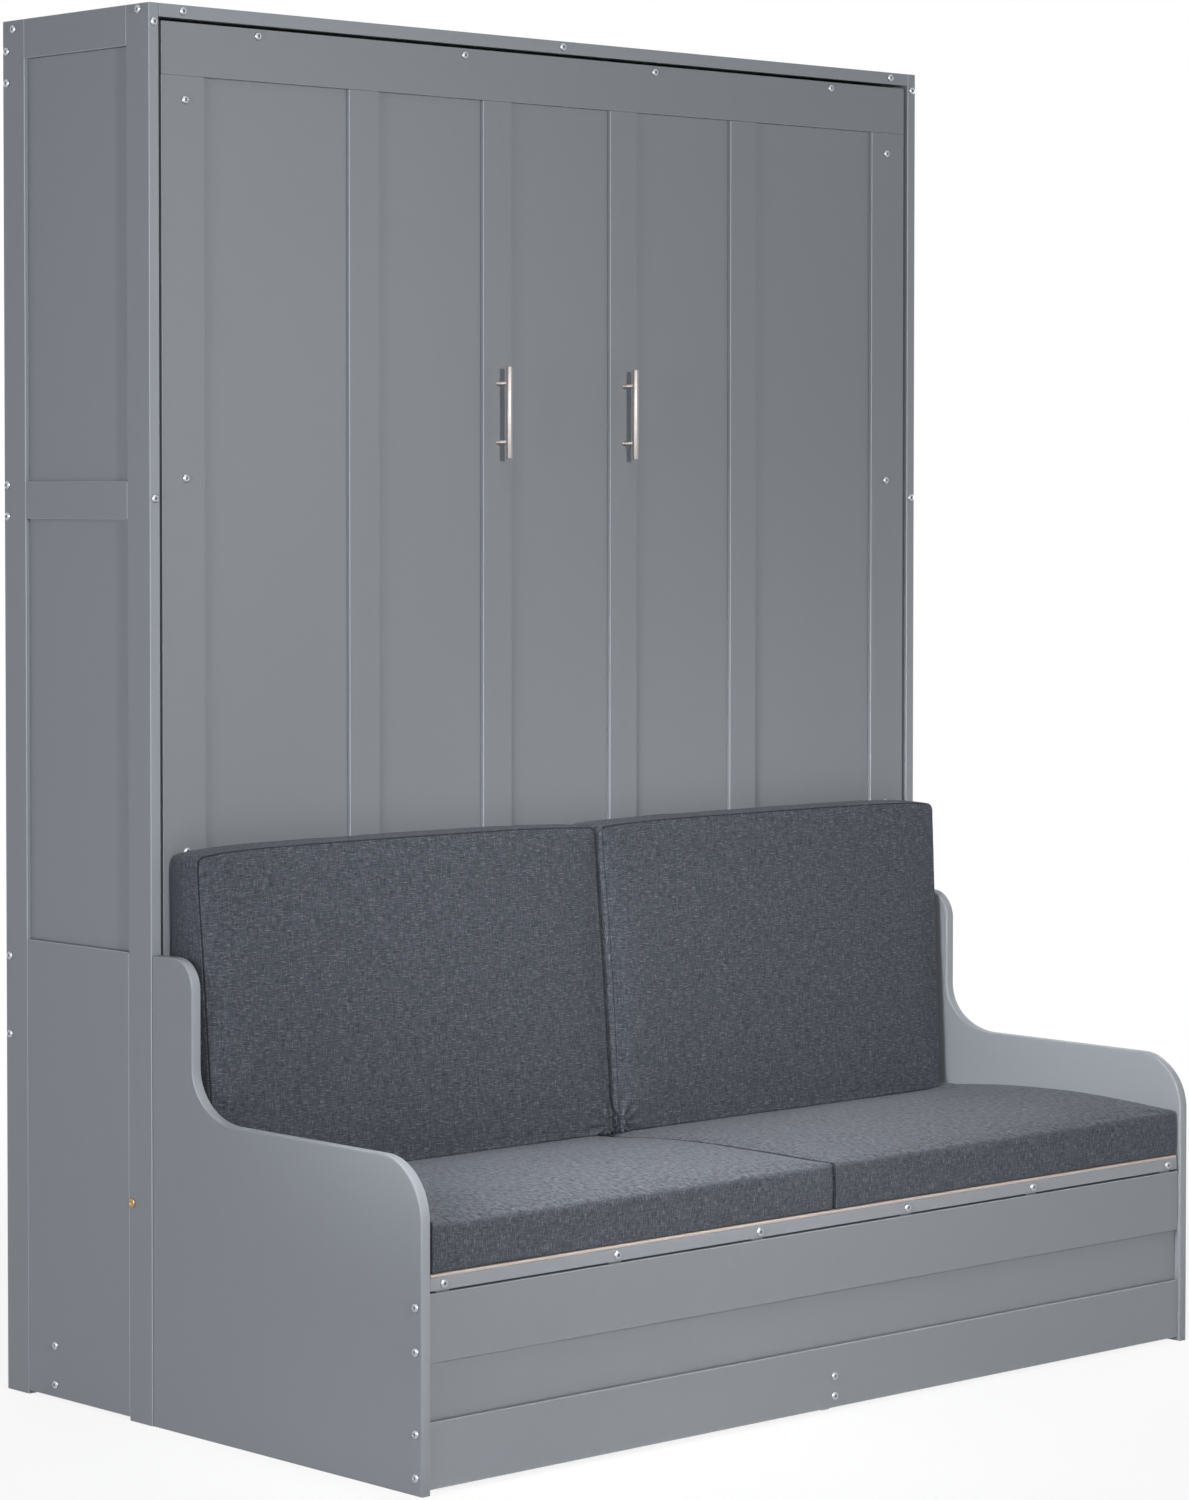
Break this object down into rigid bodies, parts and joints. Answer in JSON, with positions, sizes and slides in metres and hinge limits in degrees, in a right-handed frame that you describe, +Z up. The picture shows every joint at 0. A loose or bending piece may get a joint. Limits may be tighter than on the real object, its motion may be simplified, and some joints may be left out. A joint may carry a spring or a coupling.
{
  "type": "cabinet wall bed",
  "caption": "Panelled cabinet with a bed that folds down from its front on two pivots, over a built-in sofa with loose cushions.",
  "frame": {"origin": "on the floor, at the centre of the whole piece's width and depth", "axes": "+X to the viewer's right when facing the door, +Y rearwards to the wall, +Z up"},
  "size_m": [1.706, 1.021, 2.18],
  "materials": {
    "painted_wood": "smooth satin grey paint",
    "plywood": "raw sanded plywood",
    "slat_wood": "raw planed softwood",
    "cushion_fabric": "heathered slate linen weave",
    "satin_steel": "satin brushed steel",
    "brass": "satin brass",
    "black_steel": "satin black enamel"
  },
  "bodies": {
    "cabinet": {"top_front_rail": "painted_wood", "top_panel": "painted_wood", "back_rail_top": "painted_wood", "back_rail_middle": "painted_wood", "back_rail_lower": "painted_wood", "floor_cross_board": "painted_wood", "left_front_stile": "painted_wood", "left_rear_stile": "painted_wood", "left_side_top_rail": "painted_wood", "left_side_mid_rail": "painted_wood", "left_side_panel": "painted_wood", "left_side_lower_board": "painted_wood", "right_front_stile": "painted_wood", "right_rear_stile": "painted_wood", "right_side_top_rail": "painted_wood", "right_side_mid_rail": "painted_wood", "right_side_panel": "painted_wood", "right_side_lower_board": "painted_wood", "left_arm": "painted_wood", "right_arm": "painted_wood", "sofa_front_top_rail": "painted_wood", "sofa_front_panel": "painted_wood", "sofa_front_bottom_rail": "painted_wood", "sofa_rear_board": "painted_wood", "sofa_floor_runner": "painted_wood", "pivot_bolt_left": "brass", "pivot_bolt_right": "brass"},
    "bed": {"door_top_rail": "painted_wood", "door_bottom_rail": "painted_wood", "door_stile_1": "painted_wood", "door_stile_2": "painted_wood", "door_stile_3": "painted_wood", "door_stile_4": "painted_wood", "door_stile_5": "painted_wood", "door_stile_6": "painted_wood", "door_panel_1": "painted_wood", "door_panel_2": "painted_wood", "door_panel_3": "painted_wood", "door_panel_4": "painted_wood", "door_panel_5": "painted_wood", "bed_side_rail_left": "painted_wood", "bed_side_rail_right": "painted_wood", "bed_headboard": "painted_wood", "bed_footboard": "painted_wood", "bed_centre_beam": "slat_wood", "slat_set": "slat_wood", "handle_left": "satin_steel", "handle_right": "satin_steel"},
    "left_leg": {"foot_leg_left": "painted_wood"},
    "right_leg": {"foot_leg_right": "painted_wood"},
    "left_strut_tube": {"strut_cylinder_left": "black_steel"},
    "left_strut_rod": {"strut_rod_left": "satin_steel"},
    "right_strut_tube": {"strut_cylinder_right": "black_steel"},
    "right_strut_rod": {"strut_rod_right": "satin_steel"},
    "seat_deck": {"seat_frame": "painted_wood", "seat_board": "plywood"},
    "left_seat_cushion": {"seat_cushion_left": "cushion_fabric"},
    "right_seat_cushion": {"seat_cushion_right": "cushion_fabric"},
    "left_back_cushion": {"back_cushion_left": "cushion_fabric"},
    "right_back_cushion": {"back_cushion_right": "cushion_fabric"}
  },
  "joints": [
    {"name": "bed_fold", "type": "hinge", "parent": "cabinet", "child": "bed", "pos_m": [0, 0.1755, 0.339], "axis": [1, 0, 0], "range_deg": [0, 90]},
    {"name": "left_leg_swing", "type": "hinge", "parent": "bed", "child": "left_leg", "pos_m": [-0.7988, 0.2855, 2.12], "axis": [1, 0, 0], "range_deg": [0, 250]},
    {"name": "right_leg_swing", "type": "hinge", "parent": "bed", "child": "right_leg", "pos_m": [0.7988, 0.2855, 2.12], "axis": [1, 0, 0], "range_deg": [0, 250]},
    {"name": "left_strut_swing", "type": "hinge", "parent": "cabinet", "child": "left_strut_tube", "pos_m": [-0.81, 0.4555, 0.9], "axis": [1, 0, 0], "range_deg": [0, 5.11]},
    {"name": "right_strut_swing", "type": "hinge", "parent": "cabinet", "child": "right_strut_tube", "pos_m": [0.81, 0.4555, 0.9], "axis": [1, 0, 0], "range_deg": [0, 5.11]},
    {"name": "left_strut_slide", "type": "slide", "parent": "left_strut_tube", "child": "left_strut_rod", "axis": [0, 0.2518, 0.9678], "range_m": [0, 0.3008]},
    {"name": "right_strut_slide", "type": "slide", "parent": "right_strut_tube", "child": "right_strut_rod", "axis": [0, 0.2518, 0.9678], "range_m": [0, 0.3008]},
    {"name": "seat_deck_out", "type": "slide", "parent": "cabinet", "child": "seat_deck", "axis": [0, -1, 0], "range_m": [0, 2.75]},
    {"name": "left_seat_cushion_out", "type": "slide", "parent": "cabinet", "child": "left_seat_cushion", "axis": [0, -1, 0], "range_m": [0, 2.75]},
    {"name": "right_seat_cushion_out", "type": "slide", "parent": "cabinet", "child": "right_seat_cushion", "axis": [0, -1, 0], "range_m": [0, 2.75]},
    {"name": "left_back_cushion_out", "type": "slide", "parent": "cabinet", "child": "left_back_cushion", "axis": [0, -1, 0], "range_m": [0, 2.75]},
    {"name": "right_back_cushion_out", "type": "slide", "parent": "cabinet", "child": "right_back_cushion", "axis": [0, -1, 0], "range_m": [0, 2.75]}
  ],
  "couplings": [
    {"joint": "left_leg_swing", "follows": "bed_fold", "ratio": 2.7778},
    {"joint": "right_leg_swing", "follows": "bed_fold", "ratio": 2.7778},
    {"joint": "left_strut_swing", "follows": "bed_fold", "ratio": 0.056693},
    {"joint": "right_strut_swing", "follows": "bed_fold", "ratio": 0.056693},
    {"joint": "left_strut_slide", "follows": "bed_fold", "m_per_rad": 0.19143},
    {"joint": "right_strut_slide", "follows": "bed_fold", "m_per_rad": 0.19143},
    {"joint": "seat_deck_out", "follows": "bed_fold", "m_per_rad": 1.75},
    {"joint": "left_seat_cushion_out", "follows": "bed_fold", "m_per_rad": 1.75},
    {"joint": "right_seat_cushion_out", "follows": "bed_fold", "m_per_rad": 1.75},
    {"joint": "left_back_cushion_out", "follows": "bed_fold", "m_per_rad": 1.75},
    {"joint": "right_back_cushion_out", "follows": "bed_fold", "m_per_rad": 1.75}
  ]
}
